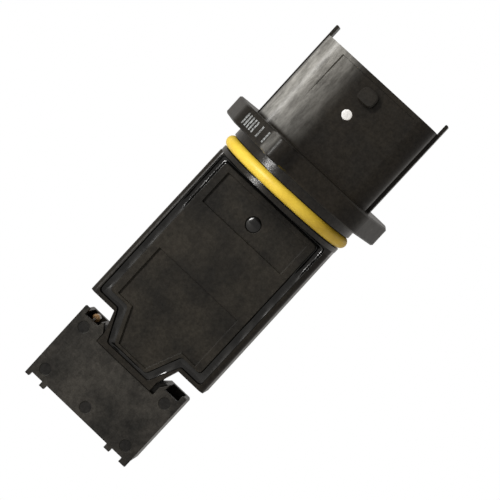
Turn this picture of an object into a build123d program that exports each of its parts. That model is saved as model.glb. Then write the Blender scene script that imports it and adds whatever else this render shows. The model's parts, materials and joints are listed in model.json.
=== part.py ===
from build123d import *
import os

# Plug-in mass airflow sensor. Millimetres.
# Origin: centre of the flange's seating face, on the plug-in axis. +Z points to the connector,
# -Y to the glued covers, +X to the right when the covers are faced.

# ---- Driving dimensions ----

# Length by which a cut or a joined form runs past the face it starts from
overshoot = 1.0

# Flange
flange_thickness = 4.5
flange_length = 39.9
flange_depth = 37.0
flange_left = 20.2
flange_left_y = 0.5
flange_right_y = 3.0
flange_end_radius = 5.0
flange_flank_inset = 4.2
flange_flank_y = 10.6
flange_corner_inset = 4.9
flange_corner_setback = 1.5
flange_corner_radius = 8.0
flange_back = 17.0
flange_back_inset = 1.1
flange_back_radius = 3.0
flange_lug_x = -4.8
flange_lug_proud = 2.7
flange_lug_half_width = 1.6
flange_lug_root = 3.0
flange_lug_setback = 1.7
flange_lug_slope = 3.6
flange_lug_radius = 2.0
flange_lug_root_radius = 1.2
flange_lug_slope_radius = 2.5
flange_edge_chamfer = 0.3

# Connector socket
socket_width = 28.6
socket_depth = 16.0
socket_corner = 4.0
socket_wall = 1.6
socket_height = 25.05
socket_floor_height = 8.0
guide_rib_proud = 0.7
guide_rib_width = 3.0
prong_rise = 2.65
prong_tip_radius = 0.25
latch_width = 3.9
latch_height = 3.3
latch_proud = 1.3
latch_below_mouth = 2.3
latch_corner = 1.2
latch_edge = 0.3
panel_width = 18.8
panel_height = 12.8
panel_below_mouth = 1.0
panel_recess = 0.35
key_rib_width = 1.2
key_rib_proud = 1.0
key_rib_spacing = 7.0
key_rib_below_mouth = 1.5

# Collar and O-ring
collar_radius = 15.3
collar_length = 5.85
oring_section = 2.6
oring_outer_radius = 15.95
oring_below_seat = 3.4
oring_sides = 12
groove_width = 3.0
collar_core_radius = 11.7
collar_core_height = 7.6
collar_core_gap = 1.6
collar_rib = 1.3
collar_rib_spacing = 7.4

# Electronics bay
body_width = 30.1
body_draft = 0.25
body_depth = 10.0
body_bottom = -43.95
body_corner = 1.3
bay_back_wall = 1.6
cover_half_width = 12.3
cover_top = -7.05
cover_bottom = -41.4
cover_corner = 0.8
cover_thickness = 1.5
cover_rim_width = 0.9
cover_rim_height = 1.0
sealant_gap = 0.9
side_sealant_gap = 1.7
tongue_sealant_gap = 1.3
sealant_drop = 1.1
ledge_width = 1.4
shelf_height = 2.9
shelf_back = 0.4
window_half_width = 8.8
window_top = -13.6
window_bottom = -38.6
window_corner = 1.5

# Tongue of the cover over the neck
tongue_top_half = 7.4
tongue_bottom_half = 4.3
tongue_bottom = -48.75

# Sunk panels of the cover
panel_half_width = 10.6
panel_sink = 0.5
upper_panel_top = -8.2
upper_panel_bottom = -15.9
lower_panel_top = -28.45
lower_panel_margin = 0.6
tongue_panel_margin = 0.65
vent_z = -12.45
vent_radius = 1.65
vent_seal_depth = 1.2
vent_seal_slope = 0.5

# Neck
neck_top_half = 8.8
neck_bottom_half = 7.2
neck_slope_end = -48.6
neck_bottom = -50.75

# Channel body at the tip
tip_half_width = 13.85
tip_gap = 3.85
tip_cover_rise = 0.6
tip_bottom = -64.6
tip_front = -4.2
tip_back = 4.8
tip_wall = 1.2
tip_floor = 1.2
tip_corner = 0.6
channel_cover_thickness = 1.4
cover_rib = 0.7
cover_rib_height = 0.8
channel_top = -52.2
channel_bottom = -57.4
divider_thickness = 1.1
divider_end = 5.6
turn_radius = 4.2
outlet_inset = 1.0
outlet_width = 6.4
pocket_wall = 1.1
pocket_width = 3.4
pocket_depth = 2.3
pocket_notch = 1.5
neck_gap_width = 1.3
neck_gap_depth = 1.2
neck_cutout_left = 0.2
neck_cutout_right = 1.0
neck_cutout_drop = 0.25
foot_height = 1.0
left_feet = ((0.0, 1.0), (3.9, 5.1))
right_feet = ((4.4, 5.8), (0.0, 1.7))
mark_radius = 1.25
mark_depth = 0.15
mark_side_inset = 2.7
mark_top_drop = 3.5
mark_bottom_rise = 2.3

# Terminals
terminal_count = 5
terminal_pitch = 5.0
terminal_width = 2.8
terminal_thickness = 0.8
terminal_below_mouth = 5.2
terminal_taper = 1.2
shank_width = 1.6
pad_pitch = 4.4
pad_width = 2.2
pad_end = -10.6
jog_start = 3.0
jog_end = -3.0

# Electronics
base_plate_thickness = 1.4
base_plate_clearance = 0.4
base_plate_tongue_half = 2.6
base_plate_corner = 0.8
boss_clearance = 0.15
boss_height = 1.2
board_thickness = 0.65
board_margin = 0.9
board_to_carrier = 0.6
chip_size = 6.4
chip_thickness = 1.1
chip_centre = (0.0, -24.5)
capacitor_size = (2.0, 1.25, 1.0)
capacitor_places = (
    (-6.6, -16.0),
    (-2.2, -16.0),
    (2.2, -16.0),
    (6.6, -16.0),
    (-6.6, -35.5),
    (6.6, -35.5),
)
resistor_size = (1.6, 0.8, 0.45)
resistor_places = (
    (-6.6, -22.0),
    (-6.6, -25.0),
    (-6.6, -28.0),
    (6.6, -22.0),
    (6.6, -25.0),
    (6.6, -28.0),
)
end_cap_length = 0.35
end_cap_proud = 0.05
wire_width = 0.3
wire_rise = 0.9
wire_crest_start = 0.3
wire_crest_end = 0.6
wire_inset = 0.6

# Sensor finger
carrier_thickness = 0.8
carrier_half_width = 2.4
carrier_top = -44.0
carrier_bottom = -56.6
carrier_tip_radius = 1.0
carrier_clearance = 0.15
sensor_width = 2.5
sensor_thickness = 0.4
sensor_top = -45.0
sensor_bottom = -55.8
membrane_size = 1.3
membrane_skin = 0.08
membrane_above_end = 1.6
seal_height = 1.3
seal_front = -1.2

# Thermistor
lead_width = 0.5
lead_thickness = 0.4
lead_inner_x = -3.3
lead_run_z = -50.9
lead_top = -43.9
lead_front_y = -1.0
lead_pitch = 2.8
bead_radius = 0.85
bead_chamfer = 0.4
bead_z = -48.4

# ---- Derived values ----

body_front = -body_depth / 2
body_back = body_depth / 2
tip_top = body_bottom - tip_gap
tip_cover_top = tip_top + tip_cover_rise
neck_gap_bottom = tip_top - neck_gap_depth
ledge_front = body_front + cover_thickness + cover_rim_height
shelf_bottom = cover_top - ledge_width - shelf_height
neck_floor = tongue_bottom + ledge_width
base_plate_half_width = cover_half_width - ledge_width - base_plate_clearance
base_plate_top = shelf_bottom - base_plate_clearance
base_plate_bottom = cover_bottom + ledge_width + base_plate_clearance
base_plate_tongue_bottom = neck_floor + base_plate_clearance
board_half_width = base_plate_half_width - board_margin
board_top = base_plate_top - board_margin
board_bottom = base_plate_bottom + board_margin
board_tongue_half = base_plate_tongue_half - board_margin
board_tongue_bottom = carrier_top + board_to_carrier
bay_back = body_back - bay_back_wall
base_plate_front = bay_back - base_plate_thickness
board_front = base_plate_front - board_thickness
carrier_front = base_plate_front - carrier_thickness
sensor_front = carrier_front
tip_cover_back = tip_front + channel_cover_thickness
tip_floor_front = tip_back - tip_floor
channel_mid = (channel_top + channel_bottom) / 2
return_top = channel_bottom - divider_thickness
return_bottom = tip_bottom + tip_wall
groove_radius = oring_outer_radius - oring_section
pocket_outer = tip_half_width - pocket_wall
pocket_inner = pocket_outer - pocket_width
neck_gap_outer = neck_bottom_half + neck_gap_width
channel_left = tip_wall - tip_half_width
outlet_left = channel_left + outlet_inset
lead_outer_x = -(pocket_inner + pocket_outer) / 2
mark_x = tip_half_width - mark_side_inset
mark_top_z = tip_cover_top - mark_top_drop
mark_bottom_z = tip_bottom + mark_bottom_rise
terminal_steps = [i - (terminal_count - 1) / 2 for i in range(terminal_count)]


def front_slab(sketch, y_front, y_back):
    """A sketch drawn in X and Z, made solid from y_back forward to y_front."""
    return extrude(Plane.XZ.offset(-y_back) * sketch, y_back - y_front, dir=(0, -1, 0))


def front_box(x_low, x_high, z_low, z_high, y_front, y_back):
    """A block between two values on each axis."""
    middle = Pos((x_low + x_high) / 2, (y_front + y_back) / 2, (z_low + z_high) / 2)
    return middle * Box(x_high - x_low, y_back - y_front, z_high - z_low)


def outline(points, radius):
    """A closed face through the points, with each corner rounded by its radius."""
    return make_face(FilletPolyline(*points, radius=radius, close=True))


def cover_outline(grow, side_grow, tongue_grow):
    """The lid's outline, moved outwards: by side_grow at its sides, tongue_grow at its tongue's."""
    side = cover_half_width + side_grow
    shoulder = cover_bottom - side_grow
    tongue_top = tongue_top_half + tongue_grow
    tongue_low = tongue_bottom_half + tongue_grow
    points = [
        (-side, cover_top + grow),
        (side, cover_top + grow),
        (side, shoulder),
        (tongue_top, shoulder),
        (tongue_low, tongue_bottom - grow),
        (-tongue_low, tongue_bottom - grow),
        (-tongue_top, shoulder),
        (-side, shoulder),
    ]
    return outline(points, cover_corner)


def inner_outline(inset):
    """The lid's outline, moved inwards all round."""
    return cover_outline(-inset, -inset, -inset)


def seat_outline():
    """The cover's outline with the gap for the sealant round it."""
    return cover_outline(sealant_gap, side_sealant_gap, tongue_sealant_gap)


def neck_outline(top):
    """The neck's outline from the height top down to its lower edge."""
    points = [
        (-neck_top_half, top),
        (neck_top_half, top),
        (neck_top_half, body_bottom),
        (neck_bottom_half, neck_slope_end),
        (neck_bottom_half, neck_bottom),
        (-neck_bottom_half, neck_bottom),
        (-neck_bottom_half, neck_slope_end),
        (-neck_top_half, body_bottom),
    ]
    return Polygon(*points, align=None)


def flange_outline():
    """The flange's outline, from its left end round the front lug and back along the rear."""
    right = flange_length - flange_left
    lug_front = flange_depth - flange_back
    front = lug_front - flange_lug_proud
    corner_x = right - flange_corner_inset
    corner_y = front - flange_corner_setback
    corners = [
        ((-flange_left, flange_left_y), flange_end_radius),
        ((flange_flank_inset - flange_left, -flange_flank_y), flange_end_radius),
        ((flange_lug_x - flange_lug_root, flange_lug_setback - front), flange_lug_root_radius),
        ((flange_lug_x - flange_lug_half_width, -lug_front), flange_lug_radius),
        ((flange_lug_x + flange_lug_half_width, -lug_front), flange_lug_radius),
        ((flange_lug_x + flange_lug_slope, -front), flange_lug_slope_radius),
        ((corner_x, -corner_y), flange_corner_radius),
        ((right, flange_right_y), flange_end_radius),
        ((right - flange_back_inset, flange_back), flange_back_radius),
        ((-corner_x, corner_y), flange_corner_radius),
    ]
    points, radii = zip(*corners)
    return outline(list(points), list(radii))


def flange():
    """The flange plate with its outer edges broken."""
    plate = extrude(flange_outline(), flange_thickness)
    rims = plate.faces().filter_by(Axis.Z).edges()
    return chamfer(rims, flange_edge_chamfer)


def socket_shell():
    """The connector's shroud with its guide ribs, prongs, latch nub and shallow front panel."""
    base = Plane.XY.offset(flange_thickness)
    height = socket_height - flange_thickness
    shell = extrude(base * RectangleRounded(socket_width, socket_depth, socket_corner), height)
    rib_x = (socket_width + guide_rib_proud) / 2
    rib_height = height + prong_rise
    for side in (-1, 1):
        rib = base * Pos(side * rib_x, 0) * Rectangle(guide_rib_proud, guide_rib_width)
        rib = extrude(rib, rib_height)
        rib = fillet(rib.edges().group_by(Axis.Z)[-1].filter_by(Axis.Y), prong_tip_radius)
        root_x = side * (socket_width / 2 - socket_wall / 4)
        root = base * Pos(root_x, 0) * Rectangle(socket_wall / 2, guide_rib_width)
        shell += rib + extrude(root, height)
    latch_z = socket_height - latch_below_mouth - latch_height / 2
    latch = Pos(0, latch_z) * RectangleRounded(latch_width, latch_height, latch_corner)
    front = -socket_depth / 2
    latch = front_slab(latch, front - latch_proud, front + socket_wall / 2)
    latch = chamfer(latch.faces().sort_by(Axis.Y)[0].edges(), latch_edge)
    panel_top = socket_height - panel_below_mouth
    wedge = Polygon(
        (front, panel_top - panel_height),
        (front + panel_recess, panel_top),
        (front - overshoot, panel_top),
        (front - overshoot, panel_top - panel_height),
        align=None,
    )
    wedge = extrude(Plane.YZ.offset(-panel_width / 2) * wedge, panel_width)
    shell -= wedge
    return shell + latch


def socket_cavity():
    """The space for the plug, above the socket's floor."""
    inside = RectangleRounded(
        socket_width - 2 * socket_wall,
        socket_depth - 2 * socket_wall,
        socket_corner - socket_wall,
    )
    depth = socket_height - socket_floor_height
    space = extrude(Plane.XY.offset(socket_floor_height) * inside, depth + overshoot)
    rib_top = socket_height - key_rib_below_mouth
    back = socket_depth / 2 - socket_wall
    for x in (-key_rib_spacing / 2, key_rib_spacing / 2):
        key = front_box(
            x - key_rib_width / 2,
            x + key_rib_width / 2,
            socket_floor_height,
            rib_top,
            back - key_rib_proud,
            back,
        )
        space -= key
    return space


def collar():
    """The collar under the flange, with its O-ring groove and the cores that lighten it."""
    ring = extrude(Plane.XY.offset(-collar_length) * Circle(collar_radius), collar_length + overshoot)
    groove = Rectangle(collar_radius, groove_width)
    groove = Plane.XZ * Pos(groove_radius + collar_radius / 2, -oring_below_seat) * groove
    ring -= revolve(groove, Axis.Z)
    return ring


def collar_cores():
    """Pockets cored into the collar from below, in front of and behind the bay, between ribs."""
    disc = Circle(collar_core_radius)
    disc -= Rectangle(2 * collar_radius, body_depth + 2 * collar_core_gap)
    for x in (-collar_rib_spacing / 2, collar_rib_spacing / 2):
        disc -= Pos(x, 0) * Rectangle(collar_rib, 2 * collar_radius)
    return extrude(Plane.XY.offset(-collar_length - overshoot) * disc, collar_core_height + overshoot)


def body_block():
    """The outside of the electronics bay, wider towards its lower end, with the neck below it."""
    top_half = body_width / 2
    low_half = top_half + body_draft
    sides = Polygon(
        (-low_half, body_bottom),
        (low_half, body_bottom),
        (top_half, -collar_length),
        (-top_half, -collar_length),
        align=None,
    )
    block = front_slab(sides, body_front, body_back)
    ends = block.faces().filter_by(Axis.Z)
    uprights = block.edges().filter_by(Axis.Y, reverse=True) - ends.edges()
    block = fillet(uprights, body_corner)
    return block + front_slab(neck_outline(body_bottom + overshoot), body_front, body_back)


def bay_cavity():
    """The bay's inside: seat of the cover, groove, terminal shelf, floor and back window."""
    seat = front_slab(seat_outline(), body_front - overshoot, ledge_front)
    inside = inner_outline(ledge_width)
    inside -= Pos(0, shelf_bottom + body_width / 2) * Rectangle(body_width, body_width)
    deep = front_slab(inside, ledge_front - overshoot, bay_back)
    shelf = front_box(
        -cover_half_width + ledge_width,
        cover_half_width - ledge_width,
        shelf_bottom - overshoot,
        cover_top - ledge_width,
        ledge_front - overshoot,
        shelf_back,
    )
    window = outline(
        [
            (-window_half_width, window_top),
            (window_half_width, window_top),
            (window_half_width, window_bottom),
            (-window_half_width, window_bottom),
        ],
        window_corner,
    )
    return seat + deep + shelf + front_slab(window, bay_back - overshoot, body_back + overshoot)


def tip_block():
    """The channel body's outside with the gaps beside the neck."""
    points = [
        (-tip_half_width, tip_top),
        (tip_half_width, tip_top),
        (tip_half_width, tip_bottom),
        (-tip_half_width, tip_bottom),
    ]
    block = front_slab(outline(points, tip_corner), tip_cover_back, tip_back)
    for side in (-1, 1):
        gap = Polygon(
            (side * neck_bottom_half, tip_top + overshoot),
            (side * neck_gap_outer, tip_top + overshoot),
            (side * neck_gap_outer, tip_top),
            (side * neck_bottom_half, neck_gap_bottom),
            align=None,
        )
        block -= front_slab(gap, body_front - overshoot, body_back + overshoot)
    return block


def channel_outline():
    """The bypass: inlet and measuring stretch, round turn and return stretch to the outlet."""
    loop = outline(
        [
            (channel_left, channel_top),
            (-channel_left, channel_top),
            (-channel_left, return_bottom),
            (channel_left, return_bottom),
        ],
        [0, turn_radius, turn_radius, tip_corner],
    )
    inlet = Pos(-tip_half_width, channel_mid) * Rectangle(4 * tip_wall, channel_top - channel_bottom)
    divider_z = channel_bottom - divider_thickness / 2
    divider_length = divider_end + tip_half_width
    divider = Pos(divider_end - divider_length / 2, divider_z)
    divider = divider * Rectangle(divider_length, divider_thickness)
    divider += Pos(divider_end, divider_z) * Circle(divider_thickness / 2)
    return loop + inlet - divider


def tip_spaces():
    """Everything cut out of the channel body: channel, pockets, outlet and finger slot."""
    spaces = front_slab(channel_outline(), tip_cover_back - overshoot, tip_floor_front)
    outlet = front_box(
        outlet_left,
        outlet_left + outlet_width,
        return_bottom,
        return_top,
        tip_floor_front - overshoot,
        tip_back + overshoot,
    )
    spaces += outlet
    for side in (-1, 1):
        low, high = sorted((side * pocket_inner, side * pocket_outer))
        spaces += front_box(
            low,
            high,
            tip_top - pocket_depth,
            tip_top + overshoot,
            tip_cover_back - overshoot,
            tip_floor_front,
        )
    slot = front_box(
        -carrier_half_width - carrier_clearance,
        carrier_half_width + carrier_clearance,
        channel_top - overshoot,
        neck_floor + overshoot,
        carrier_front - carrier_clearance,
        base_plate_front + carrier_clearance,
    )
    return spaces + slot


def housing():
    """The one-piece moulding, from the connector's mouth to the channel body."""
    solid = flange() + socket_shell() + collar() + body_block() + tip_block()
    solid -= socket_cavity() + collar_cores()
    solid -= bay_cavity()
    solid -= tip_spaces()
    for blade in terminals() + thermistor_leads():
        solid -= blade
    return solid


def electronics_cover():
    """Glued lid of the bay: raised frame and middle band, two sunk panels, rim and vent hole."""
    back = body_front + cover_thickness
    lid = front_slab(inner_outline(0), body_front, back + cover_rim_height)
    inside = inner_outline(cover_rim_width)
    lid -= front_slab(inside, back, back + cover_rim_height + overshoot)
    upper = Pos(0, (upper_panel_top + upper_panel_bottom) / 2) * Rectangle(
        2 * panel_half_width, upper_panel_top - upper_panel_bottom
    )
    lower_z = cover_bottom + lower_panel_margin
    lower = Polygon(
        (-panel_half_width, lower_panel_top),
        (panel_half_width, lower_panel_top),
        (panel_half_width, lower_z),
        (tongue_top_half - tongue_panel_margin, lower_z),
        (tongue_bottom_half - tongue_panel_margin, tongue_bottom + tongue_panel_margin),
        (-tongue_bottom_half + tongue_panel_margin, tongue_bottom + tongue_panel_margin),
        (-tongue_top_half + tongue_panel_margin, lower_z),
        (-panel_half_width, lower_z),
        align=None,
    )
    lid -= front_slab(upper + lower, body_front - overshoot, body_front + panel_sink)
    vent = front_slab(Pos(0, vent_z) * Circle(vent_radius), body_front - overshoot, back + overshoot)
    return lid - vent


def cover_sealant():
    """The bead of sealant that fills the groove round the lid."""
    ring = seat_outline() - inner_outline(0)
    return front_slab(ring, body_front + sealant_drop, ledge_front)


def vent_seal():
    """The drop that closes the vent hole, sloped up to a crown at the front."""
    back = body_front + cover_thickness
    drop = front_slab(Pos(0, vent_z) * Circle(vent_radius), back - vent_seal_depth, back)
    return chamfer(drop.faces().sort_by(Axis.Y)[0].edges(), vent_seal_slope, length2=vent_radius / 2)


def channel_cover():
    """Glued lid of the bypass, cut out round the neck, with notches, feet and ejector marks."""
    points = []
    for side, cutout in ((-1, neck_cutout_left), (1, neck_cutout_right)):
        cutout_x = side * (neck_bottom_half + cutout)
        half = [
            (side * tip_half_width, tip_cover_top),
            (side * pocket_outer, tip_cover_top),
            (side * pocket_outer, tip_cover_top - pocket_notch),
            (side * pocket_inner, tip_cover_top - pocket_notch),
            (side * (neck_gap_outer + cutout), tip_cover_top),
            (cutout_x, neck_gap_bottom),
            (cutout_x, neck_bottom - neck_cutout_drop),
        ]
        points += half[::-side]
    points += [(tip_half_width, tip_bottom), (-tip_half_width, tip_bottom)]
    plate = front_slab(Polygon(*points, align=None), tip_front, tip_cover_back)
    feet = [(near - tip_half_width, far - tip_half_width) for near, far in left_feet]
    feet += [(tip_half_width - far, tip_half_width - near) for near, far in right_feet]
    for low, high in feet:
        plate += front_box(
            low, high, tip_bottom - foot_height, tip_bottom + overshoot, tip_front, tip_cover_back
        )
    marks = [(-mark_x, mark_top_z), (mark_x, mark_top_z)]
    marks += [(x, mark_bottom_z) for x in (-mark_x, 0, mark_x)]
    for x, z in marks:
        mark = Pos(x, z) * Circle(mark_radius)
        plate -= front_slab(mark, tip_front - overshoot, tip_front + mark_depth)
    rib = front_box(
        outlet_left,
        divider_end,
        return_bottom,
        return_bottom + cover_rib,
        tip_cover_back,
        tip_cover_back + cover_rib_height,
    )
    return plate + rib


def o_ring():
    """The rubber ring in the collar's groove, with its round section drawn as a regular polygon."""
    middle = oring_outer_radius - oring_section / 2
    section = RegularPolygon(oring_section / 2, oring_sides, rotation=180 / oring_sides)
    return revolve(Plane.XZ * Pos(middle, -oring_below_seat) * section, Axis.Z)


def terminal(step):
    """A stamped blade: pointed contact, jogged shank in the moulding, and pad on the shelf."""
    x = step * terminal_pitch
    pad_x = step * pad_pitch
    tip = socket_height - terminal_below_mouth
    pad_top = cover_top - ledge_width
    edge = [
        (x, terminal_width / 4, tip),
        (x, terminal_width / 2, tip - terminal_taper),
        (x, terminal_width / 2, flange_thickness),
        (x, shank_width / 2, flange_thickness),
        (x, shank_width / 2, jog_start),
        (pad_x, shank_width / 2, jog_end),
        (pad_x, shank_width / 2, pad_top),
        (pad_x, pad_width / 2, pad_top),
        (pad_x, pad_width / 2, pad_end),
    ]
    right = [(middle + half, z) for middle, half, z in edge]
    left = [(middle - half, z) for middle, half, z in edge]
    blade = Polygon(*(right + left[::-1]), align=None)
    return front_slab(blade, shelf_back - terminal_thickness, shelf_back)


def terminals():
    return [terminal(step) for step in terminal_steps]


def base_plate():
    """Aluminium heat spreader with a boss in the bay's back window and a tongue into the neck."""
    points = [
        (-base_plate_half_width, base_plate_top),
        (base_plate_half_width, base_plate_top),
        (base_plate_half_width, base_plate_bottom),
        (base_plate_tongue_half, base_plate_bottom),
        (base_plate_tongue_half, base_plate_tongue_bottom),
        (-base_plate_tongue_half, base_plate_tongue_bottom),
        (-base_plate_tongue_half, base_plate_bottom),
        (-base_plate_half_width, base_plate_bottom),
    ]
    plate = front_slab(outline(points, base_plate_corner), base_plate_front, bay_back)
    side = window_half_width - boss_clearance
    top = window_top - boss_clearance
    bottom = window_bottom + boss_clearance
    boss = outline([(-side, top), (side, top), (side, bottom), (-side, bottom)], window_corner)
    return plate + front_slab(boss, bay_back - base_plate_thickness / 2, bay_back + boss_height)


def hybrid_substrate():
    """Ceramic board on the base plate, with a tongue towards the sensor chip."""
    points = [
        (-board_half_width, board_top),
        (board_half_width, board_top),
        (board_half_width, board_bottom),
        (board_tongue_half, board_bottom),
        (board_tongue_half, board_tongue_bottom),
        (-board_tongue_half, board_tongue_bottom),
        (-board_tongue_half, board_bottom),
        (-board_half_width, board_bottom),
    ]
    return front_slab(Polygon(*points, align=None), board_front, base_plate_front)


def evaluation_chip():
    """The square circuit chip in its flat moulded package."""
    x, z = chip_centre
    half = chip_size / 2
    front = board_front - chip_thickness
    package = front_box(x - half, x + half, z - half, z + half, front, board_front)
    rim = package.faces().sort_by(Axis.Y)[0].edges()
    return chamfer(rim, chip_thickness / 4)


def chip_part(place, size):
    """A two-ended surface part with a metal cap at each end, standing on the board."""
    x, z = place
    length, width, height = size
    top = board_front - height
    body = front_box(x - length / 2, x + length / 2, z - width / 2, z + width / 2, top, board_front)
    for end in (x - length / 2, x + length / 2 - end_cap_length):
        body += front_box(
            end,
            end + end_cap_length,
            z - width / 2 - end_cap_proud,
            z + width / 2 + end_cap_proud,
            top - end_cap_proud,
            board_front,
        )
    return body


def chip_parts(places, size):
    return Compound([chip_part(place, size) for place in places])


def bond_wire(x, start, end):
    """A flat bond that rises from start and comes down on end; both are (y, z) places."""
    (y_start, z_start), (y_end, z_end) = start, end
    top = min(y_start, y_end) - wire_rise
    half = wire_width / 2
    path = Polyline(
        (y_start - half, z_start),
        (top, z_start + (z_end - z_start) * wire_crest_start),
        (top, z_start + (z_end - z_start) * wire_crest_end),
        (y_end - half, z_end),
    )
    band = trace(path, wire_width)
    return extrude(Plane.YZ.offset(x - half) * band, wire_width)


def terminal_bond_wires():
    """One bond from each blade's pad to the board."""
    pad_y = shelf_back - terminal_thickness
    wires = []
    for step in terminal_steps:
        start = (pad_y, pad_end + wire_inset)
        wires.append(bond_wire(step * pad_pitch, start, (board_front, board_top - wire_inset)))
    return Compound(wires)


def sensor_bond_wires():
    """Three bonds from the sensor chip's upper end to the board's tongue."""
    wires = []
    for x in (-sensor_width / 3, 0, sensor_width / 3):
        start = (sensor_front, sensor_top - wire_inset)
        wires.append(bond_wire(x, start, (board_front, board_tongue_bottom + wire_inset)))
    return Compound(wires)


def sensor_carrier():
    """Metal strip on the base plate's tongue, reaching into the channel, with a chip pocket."""
    points = [
        (-carrier_half_width, carrier_top),
        (carrier_half_width, carrier_top),
        (carrier_half_width, carrier_bottom),
        (-carrier_half_width, carrier_bottom),
    ]
    strip = outline(points, [0, 0, carrier_tip_radius, carrier_tip_radius])
    strip = front_slab(strip, carrier_front, base_plate_front)
    half = sensor_width / 2
    pocket_back = carrier_front + sensor_thickness
    pocket = front_box(
        -half, half, sensor_bottom, sensor_top, carrier_front - overshoot, pocket_back
    )
    return strip - pocket


def sensor_chip():
    """Silicon chip with the thin membrane over a cavity opened from behind."""
    half = sensor_width / 2
    back = sensor_front + sensor_thickness
    chip = front_box(-half, half, sensor_bottom, sensor_top, sensor_front, back)
    low = sensor_bottom + membrane_above_end
    opening = membrane_size / 2
    cavity = front_box(
        -opening, opening, low, low + membrane_size, sensor_front + membrane_skin, back + overshoot
    )
    return chip - cavity


def carrier_seal():
    """Sealing block round the carrier at the neck's lower end."""
    block = front_slab(inner_outline(ledge_width), seal_front, bay_back)
    top = neck_floor + seal_height
    back = bay_back + overshoot
    room = front_box(-body_width, body_width, neck_floor, top, seal_front - overshoot, back)
    block = block & room
    for piece in [sensor_carrier(), sensor_chip(), base_plate()] + thermistor_leads():
        block -= piece
    return block


def thermistor_lead(y_front):
    """Strip from the neck's inside, under its wall, up into the pocket at the tip."""
    path = Polyline(
        (lead_inner_x, lead_top),
        (lead_inner_x, lead_run_z),
        (lead_outer_x, lead_run_z),
        (lead_outer_x, bead_z),
    )
    band = trace(path, lead_width)
    return front_slab(band, y_front, y_front + lead_thickness)


def thermistor_leads():
    return [thermistor_lead(lead_front_y), thermistor_lead(lead_front_y + lead_pitch)]


def thermistor():
    """Bead between the two leads in the pocket."""
    low = lead_front_y + lead_thickness
    high = lead_front_y + lead_pitch
    bead = Plane.XZ.offset(-high) * Pos(lead_outer_x, bead_z) * Circle(bead_radius)
    bead = extrude(bead, high - low)
    return chamfer(bead.edges().filter_by(GeomType.CIRCLE), bead_chamfer)


os.makedirs("parts", exist_ok=True)
nodes = {
    "housing": housing(),
    "electronics_cover": electronics_cover(),
    "cover_sealant": cover_sealant(),
    "vent_seal": vent_seal(),
    "channel_cover": channel_cover(),
    "o_ring": o_ring(),
    "base_plate": base_plate(),
    "hybrid_substrate": hybrid_substrate(),
    "evaluation_chip": evaluation_chip(),
    "chip_capacitors": chip_parts(capacitor_places, capacitor_size),
    "chip_resistors": chip_parts(resistor_places, resistor_size),
    "terminal_bond_wires": terminal_bond_wires(),
    "sensor_bond_wires": sensor_bond_wires(),
    "sensor_carrier": sensor_carrier(),
    "sensor_chip": sensor_chip(),
    "carrier_seal": carrier_seal(),
    "thermistor": thermistor(),
}
for number, blade in enumerate(terminals(), start=1):
    nodes[f"terminal_{number}"] = blade
for number, lead in enumerate(thermistor_leads(), start=1):
    nodes[f"thermistor_lead_{number}"] = lead
for name, solid in nodes.items():
    export_step(solid, f"parts/{name}.step")
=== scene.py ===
import json
import math
import random

import bmesh
import bpy
from mathutils import Matrix, Vector


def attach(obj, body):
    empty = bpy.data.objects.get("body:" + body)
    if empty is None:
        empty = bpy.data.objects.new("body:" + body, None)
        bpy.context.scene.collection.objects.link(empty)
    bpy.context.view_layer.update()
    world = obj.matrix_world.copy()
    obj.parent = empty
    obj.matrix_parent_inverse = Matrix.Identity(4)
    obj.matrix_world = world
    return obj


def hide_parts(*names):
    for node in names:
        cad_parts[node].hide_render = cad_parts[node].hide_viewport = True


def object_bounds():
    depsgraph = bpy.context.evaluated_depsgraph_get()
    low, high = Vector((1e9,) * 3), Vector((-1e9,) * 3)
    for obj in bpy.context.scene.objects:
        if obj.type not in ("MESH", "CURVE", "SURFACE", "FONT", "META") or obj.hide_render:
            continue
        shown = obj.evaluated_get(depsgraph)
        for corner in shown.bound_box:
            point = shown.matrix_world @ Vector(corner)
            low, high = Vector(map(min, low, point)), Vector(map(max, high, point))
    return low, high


# Looks, light and camera for the plug-in mass airflow sensor. Metres, in the part's own frame.

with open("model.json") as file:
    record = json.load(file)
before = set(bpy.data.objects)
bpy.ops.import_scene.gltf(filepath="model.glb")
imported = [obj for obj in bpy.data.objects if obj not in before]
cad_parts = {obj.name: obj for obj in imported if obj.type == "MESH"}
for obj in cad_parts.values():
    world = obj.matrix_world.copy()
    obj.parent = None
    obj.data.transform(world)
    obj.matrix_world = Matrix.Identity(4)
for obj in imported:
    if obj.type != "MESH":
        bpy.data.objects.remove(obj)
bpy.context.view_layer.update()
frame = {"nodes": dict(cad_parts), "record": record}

MM = 0.001

# ---- Camera ----
CAMERA_AZIMUTH = 4.9
CAMERA_ELEVATION = 5.2
CAMERA_ROLL = 42.7
CAMERA_DISTANCE = 362 * MM
CAMERA_TARGET = Vector((2.52, 0, -16.96)) * MM
CAMERA_LENS = 130.3
CAMERA_SENSOR = 36
CAMERA_REACH = (0.01, 20)

# ---- O-ring ----
RING_MIDDLE = 14.65 * MM
RING_SECTION = 2.6 * MM
RING_Z = -3.4 * MM
RING_STEPS = 160
RING_SECTION_STEPS = 32

# ---- Paint dot on the shroud's sloped front panel ----
DOT_PLACE = (-0.8 * MM, 15.9 * MM)
DOT_RADIUS = 1.1 * MM
DOT_WOBBLE = 0.05
DOT_RISE = 0.05 * MM
DOT_LIFT = 0.01 * MM
DOT_LAYERS = ((1.0, 0.0), (0.93, 1.0), (0.5, 1.25))
DOT_STEPS = 40
DOT_SEED = 7
SHROUD_FRONT = -8.0 * MM
PANEL_LOW = 11.25 * MM
PANEL_HEIGHT = 12.8 * MM
PANEL_RECESS = 0.35 * MM

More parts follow.
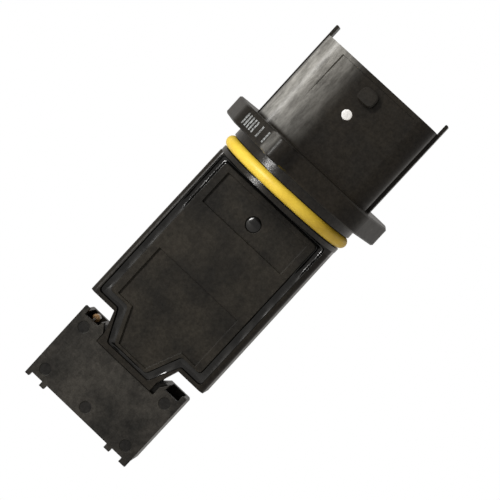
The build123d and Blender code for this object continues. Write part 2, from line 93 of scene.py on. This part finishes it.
# ---- Lids, sealant and vent, as in the CAD ----
COVER_HALF = 12.3 * MM
COVER_TOP = -7.05 * MM
COVER_LOW = -41.4 * MM
COVER_EDGE = 0.24 * MM
COVER_EDGE_STEPS = 3
ROUND_PROFILE = 0.5
TONGUE_TOP_HALF = 7.4 * MM
TONGUE_LOW_HALF = 4.3 * MM
TONGUE_LOW = -48.75 * MM
CORNER_RADIUS = 0.8 * MM
CORNER_STEPS = 5
WELD = 0.0001 * MM
FLAT_ANGLE = math.radians(1)
SHARP_ANGLE = math.radians(30)
SEALANT_GAP = 0.9 * MM
SIDE_SEALANT_GAP = 1.7 * MM
TONGUE_SEALANT_GAP = 1.3 * MM
SEALANT_STEP = 0.35 * MM
SEALANT_ACROSS = 8
SEALANT_FRONT = -3.9 * MM
SEALANT_BACK = -2.5 * MM
SEALANT_CLIMB = 0.55 * MM
SEALANT_DULL = 0.25
SEALANT_FADE_LEFT = (-17.0 * MM, -22.0 * MM)
SEALANT_FADE_RIGHT = (-12.5 * MM, -16.0 * MM)
SEALANT_SWELL = 0.10 * MM
SEALANT_WAVES = 9
SEALANT_WAVE_SIZE = (0.4, 1.0)
SEALANT_WAVE_TURNS = (4, 34)
SEALANT_SEED = 11
VENT_RADIUS = 1.65 * MM
VENT_Z = -12.45 * MM
DROP_BACK = -3.5 * MM
DROP_FRONT = -4.2 * MM
DROP_RISE = 0.5 * MM
DROP_RINGS = 8
DROP_STEPS = 40

# ---- Printed ticks on the flange's left flank ----
TICK_START = Vector((-14.53, -11.50)) * MM
TICK_END = Vector((-8.20, -15.37)) * MM
TICK_PLACES = (0.1, 0.9, 1.7, 2.5, 3.3, 4.9, 6.9)
TICK_WIDTH = 0.42 * MM
TICK_LOW = 1.0 * MM
TICK_HIGH = 3.5 * MM
TICK_RISE = 0.03 * MM

# ---- Greys of a noise texture that its dark and its light spots start from ----
WIDE = (0.3, 0.7)
STREAKY = (0.35, 0.65)
CLOUDY = (0.36, 0.64)
SPOTTY = (0.38, 0.62)
PATCHY = (0.35, 0.6)

# ---- Plastics: colours, roughness, specular level, and the fine grain per metre and its depth ----
HOUSING_LOOK = {
    "dark": (0.0055, 0.0042, 0.0026), "light": (0.0115, 0.0088, 0.0054), "rough": (0.29, 0.37),
    "specular": 0.24, "grain": 5200, "grain_depth": 0.02 * MM,
}
COVER_LOOK = {
    "dark": (0.0055, 0.0046, 0.0032), "light": (0.0195, 0.0165, 0.0120), "rough": (0.42, 0.52),
    "specular": 0.19, "grain": 4200, "grain_depth": 0.03 * MM,
}
TIP_LOOK = {
    "dark": (0.0045, 0.0040, 0.0031), "light": (0.034, 0.031, 0.0265), "rough": (0.44, 0.56),
    "specular": 0.22, "grain": 4200, "grain_depth": 0.03 * MM,
}
CLOUDS = {"scale": 130, "detail": 5, "roughness": 0.62}
MOTTLE = {"scale": 1300, "detail": 7, "roughness": 0.8}
MOTTLE_COLOUR = (0.72, 1.28)
MOTTLE_GLOSS = (0.8, 1.2)
SHEEN = {"scale": 420, "detail": 6, "roughness": 0.7}
GRAIN_DETAIL = 3
GRAIN_STRENGTH = 0.6
WAVES = {"scale": 300, "detail": 2}
WAVE_DEPTH = 0.06 * MM
WAVE_STRENGTH = 0.5

# ---- Sealant, rubber, paint and ink: tone and grain are noises, gloss is a noise's scale ----
SEALANT_LOOK = {
    "dark": (0.002, 0.002, 0.002), "light": (0.005, 0.0047, 0.0043), "tone": {"scale": 300},
    "rough": (0.14, 0.24), "gloss": 900, "grain": {"scale": 500, "detail": 2}, "depth": 0.1 * MM,
}
SEALANT_SPECULAR = 0.46
RING_LOOK = {
    "dark": (0.78, 0.54, 0.045), "light": (0.88, 0.64, 0.07), "tone": {"scale": 260, "detail": 5},
    "rough": (0.38, 0.55), "gloss": 700, "grain": {"scale": 1500, "detail": 4}, "depth": 0.04 * MM,
}
PAINT_LOOK = {
    "dark": (0.62, 0.62, 0.62), "light": (0.86, 0.86, 0.87), "tone": {"scale": 1800, "detail": 5},
    "rough": (0.35, 0.55), "gloss": 900, "span": PATCHY,
}
PRINT_LOOK = {
    "dark": (0.05, 0.05, 0.05), "light": (0.34, 0.36, 0.37), "tone": {"scale": 2600, "detail": 6},
    "rough": (0.45, 0.6), "gloss": 900, "span": SPOTTY,
}

# ---- Hard parts, by slot: dark, light, roughness ----
HARD_LOOKS = {
    "board_ceramic": ((0.74, 0.73, 0.68), (0.84, 0.83, 0.79), (0.4, 0.5)),
    "chip_plastic": ((0.02, 0.02, 0.02), (0.035, 0.035, 0.035), (0.45, 0.6)),
    "capacitor_ceramic": ((0.42, 0.30, 0.18), (0.55, 0.42, 0.27), (0.35, 0.45)),
    "resistor_ceramic": ((0.03, 0.03, 0.035), (0.06, 0.06, 0.065), (0.3, 0.4)),
    "silicon": ((0.05, 0.055, 0.07), (0.09, 0.095, 0.12), (0.08, 0.16)),
    "bead": ((0.30, 0.17, 0.08), (0.46, 0.29, 0.14), (0.12, 0.22)),
}
HARD_NOISES = {
    "tone": {"scale": 1200}, "gloss": 2000, "grain": {"scale": 3000}, "depth": 0.01 * MM, "strength": 0.3,
}

# ---- Metals, by slot: material's name, dark, light, roughness, stretch of the rolling marks ----
METAL_LOOKS = {
    "plate_aluminium": (
        "plate_aluminium", (0.66, 0.66, 0.65), (0.80, 0.80, 0.79), (0.28, 0.42), (1, 1, 0.06),
    ),
    "bond_aluminium": (
        "bond_aluminium", (0.74, 0.74, 0.73), (0.86, 0.86, 0.85), (0.2, 0.3), (1, 1, 1),
    ),
    "carrier_metal": (
        "carrier_metal", (0.52, 0.50, 0.47), (0.66, 0.64, 0.60), (0.25, 0.4), (1, 1, 0.08),
    ),
    "contact_metal": (
        "contact_tinned", (0.62, 0.60, 0.56), (0.78, 0.76, 0.72), (0.22, 0.38), (1, 1, 0.1),
    ),
}
ROLLING_MARKS = {"scale": 900, "detail": 5, "roughness": 0.5}
ROLLING_DEPTH = 0.03 * MM
ROLLING_STRENGTH = 0.4

# ---- Painted highlight: a pale, streaky sheen painted into the colour of the shroud's left front, the latch and the flange's lug ----
PAINTED_SHEEN_COLOUR = (0.34, 0.336, 0.32)
PAINTED_SHEEN_ACROSS = (-3.0 * MM, -11.8 * MM)
PAINTED_SHEEN_EDGE = (-14.5 * MM, -13.5 * MM)
PAINTED_SHEEN_FOOT = (4.6 * MM, 5.6 * MM)
PAINTED_SHEEN_STREAKS = (0.35, 1.05)
STREAK_STRETCH = (1, 0.4, 0.28)
STREAKS = {"scale": 700, "detail": 6, "roughness": 0.7}
LATCH_FRONT = (-8.3 * MM, -8.8 * MM)
LATCH_PAINTED_HIGHLIGHT = 0.025
LUG_HIGHLIGHT_LEFT = (-8.8 * MM, -7.9 * MM)
LUG_HIGHLIGHT_RIGHT = (-5.6 * MM, -6.7 * MM)
LUG_HIGHLIGHT_FRONT = (-15.0 * MM, -15.6 * MM)
LUG_HIGHLIGHT_SHARE = 0.42

# ---- Smoother, glossier band round the collar ----
SMOOTH_FOOT = (-7.2 * MM, -6.8 * MM)
SMOOTH_HEAD = (0.1 * MM, -0.1 * MM)
SMOOTH_SHARE = 0.70
SMOOTH_GLOSS = 1.7

# ---- Ejector marks on the channel lid ----
TIP_FRONT = -4.05 * MM
MARK_RADIUS = 1.25 * MM
MARK_EDGE = 0.9
MARK_SHADE = 0.3
MARK_X = 11.15 * MM
MARK_TOP = -50.7 * MM
MARK_LOW = -62.3 * MM
MARK_PLACES = (
    (-MARK_X, MARK_TOP), (MARK_X, MARK_TOP), (-MARK_X, MARK_LOW), (0, MARK_LOW), (MARK_X, MARK_LOW),
)

# ---- Lamps: name, azimuth, elevation, distance, size, power, colour, seen in gloss ----
LAMPS = (
    ("key", -42, 12, 0.6, (0.07, 0.26), 3.4, (1.0, 0.99, 0.97), True),
    ("right_fill", 90, -5, 0.6, (0.6, 0.6), 0.7, (1.0, 0.86, 0.68), False),
)

# ---- Stage ----
WORLD_COLOUR = (1.0, 0.88, 0.72, 1)
WORLD_STRENGTH = 0.21
GLOSS_SHARE = 0.4
WHITE = (1, 1, 1, 1)
WHITE_STRENGTH = 1.0
FLOOR_COLOUR = (0.88, 0.86, 0.82, 1)
FLOOR_DROP = 45 * MM
FLOOR_SIZE = 6.0


def node_tree(name):
    """A new material with its node tree and its Principled shader."""
    material = bpy.data.materials.new(name)
    material.use_nodes = True
    tree = material.node_tree
    tree.nodes.clear()
    output = tree.nodes.new("ShaderNodeOutputMaterial")
    shader = tree.nodes.new("ShaderNodeBsdfPrincipled")
    tree.links.new(shader.outputs["BSDF"], output.inputs["Surface"])
    return material, tree, shader


def noise(tree, scale, detail=4, roughness=0.6, stretch=None):
    """A noise texture in object space; scale is features per metre, stretch squeezes it along an axis."""
    place = tree.nodes.new("ShaderNodeTexCoord").outputs["Object"]
    if stretch is not None:
        mapping = tree.nodes.new("ShaderNodeMapping")
        mapping.inputs["Scale"].default_value = stretch
        tree.links.new(place, mapping.inputs["Vector"])
        place = mapping.outputs["Vector"]
    texture = tree.nodes.new("ShaderNodeTexNoise")
    texture.inputs["Scale"].default_value = scale
    texture.inputs["Detail"].default_value = detail
    texture.inputs["Roughness"].default_value = roughness
    tree.links.new(place, texture.inputs["Vector"])
    return texture.outputs["Fac"]


def ramp(tree, value, low, high, span=(0.0, 1.0)):
    """A colour ramp on a value: low at the start of the span and high at its end, greys or colours."""
    node = tree.nodes.new("ShaderNodeValToRGB")
    for element, place, colour in zip(node.color_ramp.elements, span, (low, high), strict=True):
        element.position = place
        element.color = (*colour, 1) if isinstance(colour, tuple) else (colour, colour, colour, 1)
    tree.links.new(value, node.inputs["Fac"])
    return node.outputs["Color"]


def bump(tree, shader, value, distance, strength, under=None):
    """A bump layer on the shader, over another if given."""
    node = tree.nodes.new("ShaderNodeBump")
    node.inputs["Distance"].default_value = distance
    node.inputs["Strength"].default_value = strength
    tree.links.new(value, node.inputs["Height"])
    if under is not None:
        tree.links.new(under.outputs["Normal"], node.inputs["Normal"])
    tree.links.new(node.outputs["Normal"], shader.inputs["Normal"])
    return node


def multiply(tree, first, second):
    """The product of two colours or vectors."""
    node = tree.nodes.new("ShaderNodeVectorMath")
    node.operation = "MULTIPLY"
    tree.links.new(first, node.inputs[0])
    tree.links.new(second, node.inputs[1])
    return node.outputs["Vector"]


def blend(tree, factor, low, high):
    """A mix of two colours by a factor."""
    node = tree.nodes.new("ShaderNodeMix")
    node.data_type = "RGBA"
    tree.links.new(factor, node.inputs["Factor"])
    tree.links.new(low, node.inputs["A"])
    tree.links.new(high, node.inputs["B"])
    return node.outputs["Result"]


def between(tree, value, start, end):
    """0 at start, 1 at end and beyond, with a soft passage between them."""
    node = tree.nodes.new("ShaderNodeMapRange")
    node.interpolation_type = "SMOOTHSTEP"
    node.inputs["From Min"].default_value = start
    node.inputs["From Max"].default_value = end
    tree.links.new(value, node.inputs["Value"])
    return node.outputs["Result"]


def combine(tree, operation, *values):
    """Two or more numbers, combined one after the other by a math operation."""
    result = values[0]
    for value in values[1:]:
        node = tree.nodes.new("ShaderNodeMath")
        node.operation = operation
        tree.links.new(result, node.inputs[0])
        tree.links.new(value, node.inputs[1])
        result = node.outputs["Value"]
    return result


def place_axes(tree):
    """The X, Y and Z of the shaded point in the part's frame."""
    place = tree.nodes.new("ShaderNodeTexCoord")
    split = tree.nodes.new("ShaderNodeSeparateXYZ")
    tree.links.new(place.outputs["Object"], split.inputs["Vector"])
    return split.outputs["X"], split.outputs["Y"], split.outputs["Z"]


def moulded_plastic(name, dark, light, rough, specular, grain, grain_depth):
    """Black moulded plastic: cloudy and mottled colour and gloss, fine grain, uneven sheen."""
    material, tree, shader = node_tree(name)
    cloud = ramp(tree, noise(tree, **CLOUDS), dark, light, CLOUDY)
    mottle = noise(tree, **MOTTLE)
    colour = multiply(tree, cloud, ramp(tree, mottle, *MOTTLE_COLOUR, SPOTTY))
    gloss = [specular * share for share in MOTTLE_GLOSS]
    tree.links.new(ramp(tree, mottle, *gloss, SPOTTY), shader.inputs["Specular IOR Level"])
    tree.links.new(colour, shader.inputs["Base Color"])
    tree.links.new(ramp(tree, noise(tree, **SHEEN), *rough, WIDE), shader.inputs["Roughness"])
    fine = bump(tree, shader, noise(tree, grain, detail=GRAIN_DETAIL), grain_depth, GRAIN_STRENGTH)
    bump(tree, shader, noise(tree, **WAVES), WAVE_DEPTH, WAVE_STRENGTH, under=fine)
    return material, tree, shader, colour


def smooth_collar(tree, shader):
    """Makes the band round the collar smoother and glossier."""
    z = place_axes(tree)[2]
    band = combine(tree, "MULTIPLY", between(tree, z, *SMOOTH_FOOT), between(tree, z, *SMOOTH_HEAD))
    for name, share in (("Roughness", SMOOTH_SHARE), ("Specular IOR Level", SMOOTH_GLOSS)):
        given = shader.inputs[name].links[0].from_socket
        tree.links.new(multiply(tree, given, ramp(tree, band, 1.0, share)), shader.inputs[name])


def painted_highlight_places(tree):
    """How much painted highlight each place gets: the shroud's left front, the latch and the flange's lug.
    """
    x, y, z = place_axes(tree)
    shroud = between(tree, z, *PAINTED_SHEEN_FOOT)
    left = combine(tree, "MULTIPLY", between(tree, x, *PAINTED_SHEEN_ACROSS), between(tree, x, *PAINTED_SHEEN_EDGE), shroud)
    # Painted highlight on the lug's nose, where the key light would glint.
    nose = (between(tree, x, *LUG_HIGHLIGHT_LEFT), between(tree, x, *LUG_HIGHLIGHT_RIGHT), between(tree, y, *LUG_HIGHLIGHT_FRONT))
    lug = combine(tree, "MULTIPLY", *nose)
    # Painted highlight: a slight lightening of the latch's front face, so that it reads lighter than the
    # shroud.
    latch = combine(tree, "MULTIPLY", shroud, between(tree, y, *LATCH_FRONT))
    places = (left, ramp(tree, lug, 0.0, LUG_HIGHLIGHT_SHARE), ramp(tree, latch, 0.0, LATCH_PAINTED_HIGHLIGHT))
    return combine(tree, "ADD", *places)


def housing_finish():
    """The housing's plastic, with a streaky painted highlight on its left front, latch and lug, and a
    smoother collar.
    """
    material, tree, shader, colour = moulded_plastic("housing_plastic", **HOUSING_LOOK)
    streaks = ramp(tree, noise(tree, **STREAKS, stretch=STREAK_STRETCH), *PAINTED_SHEEN_STREAKS, STREAKY)
    reach = combine(tree, "MULTIPLY", painted_highlight_places(tree), streaks)
    # Painted highlight: a pale grey blended into the base colour, in streaks, where the key light's sheen
    # falls.
    painted_sheen = tree.nodes.new("ShaderNodeRGB")
    painted_sheen.outputs["Color"].default_value = (*PAINTED_SHEEN_COLOUR, 1)
    tree.links.new(blend(tree, reach, colour, painted_sheen.outputs["Color"]), shader.inputs["Base Color"])
    smooth_collar(tree, shader)
    return material


def tip_finish():
    """The channel lid's plastic, darker in its ejector marks."""
    material, tree, shader, colour = moulded_plastic("tip_plastic", **TIP_LOOK)
    place = tree.nodes.new("ShaderNodeTexCoord")
    for x, z in MARK_PLACES:
        gap = tree.nodes.new("ShaderNodeVectorMath")
        gap.operation = "DISTANCE"
        gap.inputs[1].default_value = (x, TIP_FRONT, z)
        tree.links.new(place.outputs["Object"], gap.inputs[0])
        outside = between(tree, gap.outputs["Value"], MARK_RADIUS * MARK_EDGE, MARK_RADIUS)
        colour = multiply(tree, colour, ramp(tree, outside, MARK_SHADE, 1.0))
    tree.links.new(colour, shader.inputs["Base Color"])
    return material


def simple_finish(name, dark, light, tone, rough, gloss, span=WIDE, grain=None, depth=0, strength=0.5):
    """A surface with mottled colour, uneven roughness and, if grain is given, a bump."""
    material, tree, shader = node_tree(name)
    tree.links.new(ramp(tree, noise(tree, **tone), dark, light, span), shader.inputs["Base Color"])
    tree.links.new(ramp(tree, noise(tree, gloss), *rough, WIDE), shader.inputs["Roughness"])
    if grain is not None:
        bump(tree, shader, noise(tree, **grain), depth, strength)
    return material, shader


def glossy_sealant():
    """Black, glossy and slightly uneven silicone."""
    material, shader = simple_finish("sealant_gloss", **SEALANT_LOOK)
    shader.inputs["Specular IOR Level"].default_value = SEALANT_SPECULAR
    return material


def metal(name, dark, light, rough, stretch):
    """Sheet metal with rolling marks along one axis."""
    material, tree, shader = node_tree(name)
    marks = noise(tree, **ROLLING_MARKS, stretch=stretch)
    tree.links.new(ramp(tree, marks, dark, light, WIDE), shader.inputs["Base Color"])
    tree.links.new(ramp(tree, marks, *rough, WIDE), shader.inputs["Roughness"])
    shader.inputs["Metallic"].default_value = 1.0
    bump(tree, shader, marks, ROLLING_DEPTH, ROLLING_STRENGTH)
    return material


def make_finishes():
    """A material for every material slot of the record."""
    made = {
        "housing_plastic": housing_finish(),
        "cover_plastic": moulded_plastic("cover_plastic", **COVER_LOOK)[0],
        "sealant": glossy_sealant(),
        "seal_rubber": simple_finish("ring_rubber", **RING_LOOK)[0],
    }
    for slot, (dark, light, rough) in HARD_LOOKS.items():
        made[slot] = simple_finish(slot, dark, light, rough=rough, **HARD_NOISES)[0]
    for slot, look in METAL_LOOKS.items():
        made[slot] = metal(*look)
    return made


def dress_nodes():
    """Gives every CAD node its material, by the record's slot; the channel lid gets its own."""
    slots = {row["node"]: row["material_slot"] for row in frame["record"]["subparts"]}
    for name, node in frame["nodes"].items():
        finish = tip_finish() if name == "channel_cover" else finishes[slots[name]]
        for slot in node.material_slots:
            slot.material = finish


def new_piece(name, bm, material, smooth=True):
    """Turns a bmesh into an object that rides the part."""
    mesh = bpy.data.meshes.new(name)
    bm.to_mesh(mesh)
    bm.free()
    mesh.materials.append(material)
    for face in mesh.polygons:
        face.use_smooth = smooth
    piece = bpy.data.objects.new(name, mesh)
    bpy.context.scene.collection.objects.link(piece)
    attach(piece, "root")
    return piece


def loft(bm, rings, closed=True):
    """Joins rings of points, each with as many points, into a skin."""
    rows = [[bm.verts.new(point) for point in ring] for ring in rings]
    pairs = list(zip(rows, rows[1:]))
    if closed:
        pairs.append((rows[-1], rows[0]))
    for low, high in pairs:
        count = len(low)
        for i in range(count):
            j = (i + 1) % count
            bm.faces.new((low[i], low[j], high[j], high[i]))
    return rows


def soften(name, width):
    """Stands in for a CAD node with its sharp edges rounded, so that they catch the light."""
    node = frame["nodes"][name]
    material = node.material_slots[0].material
    bm = bmesh.new()
    bm.from_mesh(node.data)
    bmesh.ops.transform(bm, matrix=node.matrix_world, verts=bm.verts)
    bmesh.ops.remove_doubles(bm, verts=bm.verts, dist=WELD)
    bmesh.ops.dissolve_limit(bm, angle_limit=FLAT_ANGLE, verts=bm.verts, edges=bm.edges)
    sharp = [edge for edge in bm.edges if edge.is_manifold and edge.calc_face_angle() > SHARP_ANGLE]
    bmesh.ops.bevel(
        bm, geom=sharp, offset=width, segments=COVER_EDGE_STEPS, profile=ROUND_PROFILE,
        affect="EDGES", clamp_overlap=True,
    )
    piece = new_piece(name + "_soft", bm, material, smooth=False)
    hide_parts(name)
    return piece


def add_ring():
    """The O-ring with a true round section."""
    bm = bmesh.new()
    rings = []
    for i in range(RING_STEPS):
        turn = math.tau * i / RING_STEPS
        outward = Vector((math.cos(turn), math.sin(turn), 0))
        ring = []
        for j in range(RING_SECTION_STEPS):
            angle = math.tau * j / RING_SECTION_STEPS
            reach = RING_MIDDLE + RING_SECTION / 2 * math.cos(angle)
            ring.append(outward * reach + Vector((0, 0, RING_Z + RING_SECTION / 2 * math.sin(angle))))
        rings.append(ring)
    loft(bm, rings)
    bmesh.ops.recalc_face_normals(bm, faces=bm.faces)
    piece = new_piece("o_ring_smooth", bm, finishes["seal_rubber"])
    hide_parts("o_ring")


def add_paint_dot():
    """The white paint dot on the shroud, with an uneven edge."""
    wobble = random.Random(DOT_SEED)
    bm = bmesh.new()
    edge = []
    for i in range(DOT_STEPS):
        turn = math.tau * i / DOT_STEPS
        reach = DOT_RADIUS * (1 + wobble.uniform(-DOT_WOBBLE, DOT_WOBBLE))
        edge.append((reach * math.cos(turn), reach * math.sin(turn)))
    slope = PANEL_RECESS / PANEL_HEIGHT
    rings = []
    for shrink, share in DOT_LAYERS:
        ring = []
        for x, z in edge:
            height = DOT_PLACE[1] + z * shrink
            surface = SHROUD_FRONT + (height - PANEL_LOW) * slope
            ring.append(Vector((DOT_PLACE[0] + x * shrink, surface - DOT_RISE * share - DOT_LIFT, height)))
        rings.append(ring)
    rows = loft(bm, rings, closed=False)
    bm.faces.new(rows[-1])
    bm.faces.new(rows[0][::-1])
    bmesh.ops.recalc_face_normals(bm, faces=bm.faces)
    new_piece("paint_dot", bm, simple_finish("paint_white", **PAINT_LOOK)[0])


def cover_path(grow, side_grow, tongue_grow):
    """The lid's outline in X and Z, moved outwards, with round corners; the same as in the CAD."""
    side, shoulder = COVER_HALF + side_grow, COVER_LOW - side_grow
    top, low = TONGUE_TOP_HALF + tongue_grow, TONGUE_LOW_HALF + tongue_grow
    right = [(side, COVER_TOP + grow), (side, shoulder), (top, shoulder), (low, TONGUE_LOW - grow)]
    corners = right + [(-x, z) for x, z in reversed(right)]
    path = []
    for i, corner in enumerate(corners):
        here = Vector(corner)
        into = (here - Vector(corners[i - 1])).normalized()
        out = (Vector(corners[(i + 1) % len(corners)]) - here).normalized()
        trim = CORNER_RADIUS * math.tan(abs(into.angle_signed(out)) / 2)
        start, end = here - into * trim, here + out * trim
        for k in range(CORNER_STEPS + 1):
            t = k / CORNER_STEPS
            path.append(start * (1 - t) ** 2 + here * 2 * t * (1 - t) + end * t * t)
    return path


def glossy_part(x, z):
    """1 near the top of the side grooves, where the sealant climbs its walls, 0 further down."""
    start, end = SEALANT_FADE_LEFT if x < 0 else SEALANT_FADE_RIGHT
    t = min(1, max(0, (z - end) / (start - end)))
    return t * t * (3 - 2 * t)


def sealant_pairs():
    """Pairs of points round the lid, on the groove's inner and outer edge, at even steps."""
    inner = cover_path(0, 0, 0)
    outer = cover_path(SEALANT_GAP, SIDE_SEALANT_GAP, TONGUE_SEALANT_GAP)
    pairs = []
    for i, start in enumerate(inner):
        end = inner[(i + 1) % len(inner)]
        far, far_end = outer[i], outer[(i + 1) % len(outer)]
        count = max(1, round((end - start).length / SEALANT_STEP))
        pairs += [(start.lerp(end, k / count), far.lerp(far_end, k / count)) for k in range(count)]
    return pairs


def sealant_row(near, far, depth, swell):
    """The bead's section from near to far: a hollow that climbs both walls, and its flat back."""
    row = []
    for k in range(SEALANT_ACROSS + 1):
        t = k / SEALANT_ACROSS
        place = near.lerp(far, t)
        climb = depth * (2 * t - 1) ** 2
        row.append(Vector((place.x, SEALANT_FRONT - climb - swell * math.sin(math.pi * t), place.y)))
    row.append(Vector((far.x, SEALANT_BACK, far.y)))
    row.append(Vector((near.x, SEALANT_BACK, near.y)))
    return row


def add_sealant():
    """The sealant bead round the lid: a glossy, uneven strip that climbs its walls."""
    rng = random.Random(SEALANT_SEED)
    waves = [
        (rng.uniform(*SEALANT_WAVE_SIZE), rng.randint(*SEALANT_WAVE_TURNS), rng.uniform(0, math.tau))
        for _ in range(SEALANT_WAVES)
    ]
    pairs = sealant_pairs()
    rows = []
    for i, (near, far) in enumerate(pairs):
        turn = math.tau * i / len(pairs)
        swell = sum(size * math.sin(turns * turn + phase) for size, turns, phase in waves)
        fresh = glossy_part(near.x, near.y)
        depth = SEALANT_CLIMB * (SEALANT_DULL + (1 - SEALANT_DULL) * fresh)
        swell *= SEALANT_SWELL * (1 - fresh / 2) / math.sqrt(len(waves))
        rows.append(sealant_row(near, far, depth, swell))
    bm = bmesh.new()
    loft(bm, rows)
    bmesh.ops.recalc_face_normals(bm, faces=bm.faces)
    piece = new_piece("sealant_bead", bm, finishes["sealant"])
    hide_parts("cover_sealant")


def add_vent_drop():
    """The glossy drop in the vent hole, domed towards the front."""
    bm = bmesh.new()
    rings = []
    for k in range(DROP_RINGS + 1):
        t = k / (DROP_RINGS + 1)
        reach = VENT_RADIUS * math.cos(t * math.pi / 2)
        rise = DROP_RISE * math.sin(t * math.pi / 2)
        rings.append([
            Vector((reach * math.cos(a), DROP_FRONT - rise, VENT_Z + reach * math.sin(a)))
            for a in (math.tau * i / DROP_STEPS for i in range(DROP_STEPS))
        ])
    back = [Vector((p.x, DROP_BACK, p.z)) for p in rings[0]]
    rows = loft(bm, [back] + rings, closed=False)
    bm.faces.new(rows[0])
    tip = bm.verts.new((0, DROP_FRONT - DROP_RISE, VENT_Z))
    last = rows[-1]
    for i, vert in enumerate(last):
        bm.faces.new((vert, last[(i + 1) % len(last)], tip))
    bmesh.ops.recalc_face_normals(bm, faces=bm.faces)
    piece = new_piece("vent_drop", bm, finishes["sealant"])
    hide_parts("vent_seal")


def add_ticks():
    """Plain printed bars on the flange's flank, each a thin raised patch of light-grey ink."""
    along = (TICK_END - TICK_START).normalized()
    outward = Vector((along.y, -along.x))
    bm = bmesh.new()
    for place in TICK_PLACES:
        near = TICK_START + along * (place * MM - TICK_WIDTH / 2)
        far = near + along * TICK_WIDTH
        rings = []
        for rise in (-TICK_RISE, TICK_RISE):
            low, high = near + outward * rise, far + outward * rise
            rings.append([
                Vector((low.x, low.y, TICK_LOW)),
                Vector((high.x, high.y, TICK_LOW)),
                Vector((high.x, high.y, TICK_HIGH)),
                Vector((low.x, low.y, TICK_HIGH)),
            ])
        rows = loft(bm, rings, closed=False)
        bm.faces.new(rows[-1])
        bm.faces.new(rows[0][::-1])
    bmesh.ops.recalc_face_normals(bm, faces=bm.faces)
    new_piece("print_ticks", bm, simple_finish("print_grey", **PRINT_LOOK)[0], smooth=False)


def camera_axes(azimuth, elevation):
    """Unit vectors from the target to the camera, to its right and up, before the roll."""
    a, e = math.radians(azimuth), math.radians(elevation)
    back = Vector((math.sin(a) * math.cos(e), -math.cos(a) * math.cos(e), math.sin(e)))
    right = Vector((math.cos(a), math.sin(a), 0))
    return back, right, back.cross(right)


def add_camera():
    """The camera at the photograph's viewing angle, and the scene's own."""
    back, right, up = camera_axes(CAMERA_AZIMUTH, CAMERA_ELEVATION)
    roll = math.radians(CAMERA_ROLL)
    image_right = right * math.cos(roll) + up * math.sin(roll)
    image_up = up * math.cos(roll) - right * math.sin(roll)
    place = CAMERA_TARGET + back * CAMERA_DISTANCE
    data = bpy.data.cameras.new("camera")
    data.lens = CAMERA_LENS
    data.sensor_width = CAMERA_SENSOR
    data.clip_start, data.clip_end = CAMERA_REACH
    camera = bpy.data.objects.new("camera", data)
    turn = Matrix((image_right, image_up, back)).transposed().to_4x4()
    camera.matrix_world = Matrix.Translation(place) @ turn
    bpy.context.scene.collection.objects.link(camera)
    bpy.context.scene.camera = camera


def area_light(name, azimuth, elevation, distance, size, power, colour, in_gloss):
    """A soft box that faces the part, at an azimuth and elevation round it; gloss shows it if in_gloss."""
    back, _, _ = camera_axes(azimuth, elevation)
    data = bpy.data.lights.new(name, "AREA")
    data.shape = "RECTANGLE"
    data.size, data.size_y = size
    data.energy = power
    data.color = colour
    light = bpy.data.objects.new(name, data)
    light.visible_glossy = in_gloss
    light.location = CAMERA_TARGET + back * distance
    light.rotation_mode = "QUATERNION"
    light.rotation_quaternion = back.to_track_quat("Z", "Y")
    bpy.context.scene.collection.objects.link(light)


def seen_directly(tree):
    """1 for rays from the camera or through glass, GLOSS_SHARE for rays off a gloss, else 0."""
    path = tree.nodes.new("ShaderNodeLightPath")
    gloss = tree.nodes.new("ShaderNodeMath")
    gloss.operation = "MULTIPLY"
    gloss.inputs[1].default_value = GLOSS_SHARE
    tree.links.new(path.outputs["Is Glossy Ray"], gloss.inputs[0])
    rays = (path.outputs["Is Camera Ray"], gloss.outputs["Value"], path.outputs["Is Transmission Ray"])
    return combine(tree, "MAXIMUM", *rays)


def white_where_seen(tree, output, lit, white):
    """Sends the lit shader to the output, and the white one where it is seen directly."""
    mix = tree.nodes.new("ShaderNodeMixShader")
    tree.links.new(seen_directly(tree), mix.inputs["Fac"])
    tree.links.new(lit, mix.inputs[1])
    tree.links.new(white, mix.inputs[2])
    tree.links.new(mix.outputs["Shader"], output.inputs["Surface"])


def add_world():
    """Soft even light from all round, and a white background where it is seen directly."""
    world = bpy.data.worlds.new("studio")
    bpy.context.scene.world = world
    world.use_nodes = True
    tree = world.node_tree
    tree.nodes.clear()
    output = tree.nodes.new("ShaderNodeOutputWorld")
    backgrounds = []
    for colour, strength in ((WORLD_COLOUR, WORLD_STRENGTH), (WHITE, WHITE_STRENGTH)):
        background = tree.nodes.new("ShaderNodeBackground")
        background.inputs["Color"].default_value = colour
        background.inputs["Strength"].default_value = strength
        backgrounds.append(background.outputs["Background"])
    white_where_seen(tree, output, *backgrounds)


def add_backdrop():
    """A pale floor, white where it is seen directly."""
    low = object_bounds()[0].z - FLOOR_DROP
    half = FLOOR_SIZE / 2
    corners = [(x, y, low) for y in (-half, half) for x in (-half, half)]
    mesh = bpy.data.meshes.new("backdrop")
    mesh.from_pydata(corners, [], [(0, 1, 3, 2)])
    backdrop = bpy.data.objects.new("backdrop", mesh)
    bpy.context.scene.collection.objects.link(backdrop)
    material = bpy.data.materials.new("backdrop_white")
    material.use_nodes = True
    tree = material.node_tree
    tree.nodes.clear()
    output = tree.nodes.new("ShaderNodeOutputMaterial")
    diffuse = tree.nodes.new("ShaderNodeBsdfDiffuse")
    diffuse.inputs["Color"].default_value = FLOOR_COLOUR
    glow = tree.nodes.new("ShaderNodeEmission")
    glow.inputs["Color"].default_value = WHITE
    glow.inputs["Strength"].default_value = WHITE_STRENGTH
    white_where_seen(tree, output, diffuse.outputs["BSDF"], glow.outputs["Emission"])
    mesh.materials.append(material)


bpy.context.scene.view_settings.view_transform = "Standard"
finishes = make_finishes()
dress_nodes()
add_world()
add_backdrop()
for name in ("electronics_cover", "channel_cover"):
    soften(name, COVER_EDGE)
add_ring()
add_paint_dot()
add_sealant()
add_vent_drop()
add_ticks()
for lamp in LAMPS:
    area_light(*lamp)
add_camera()
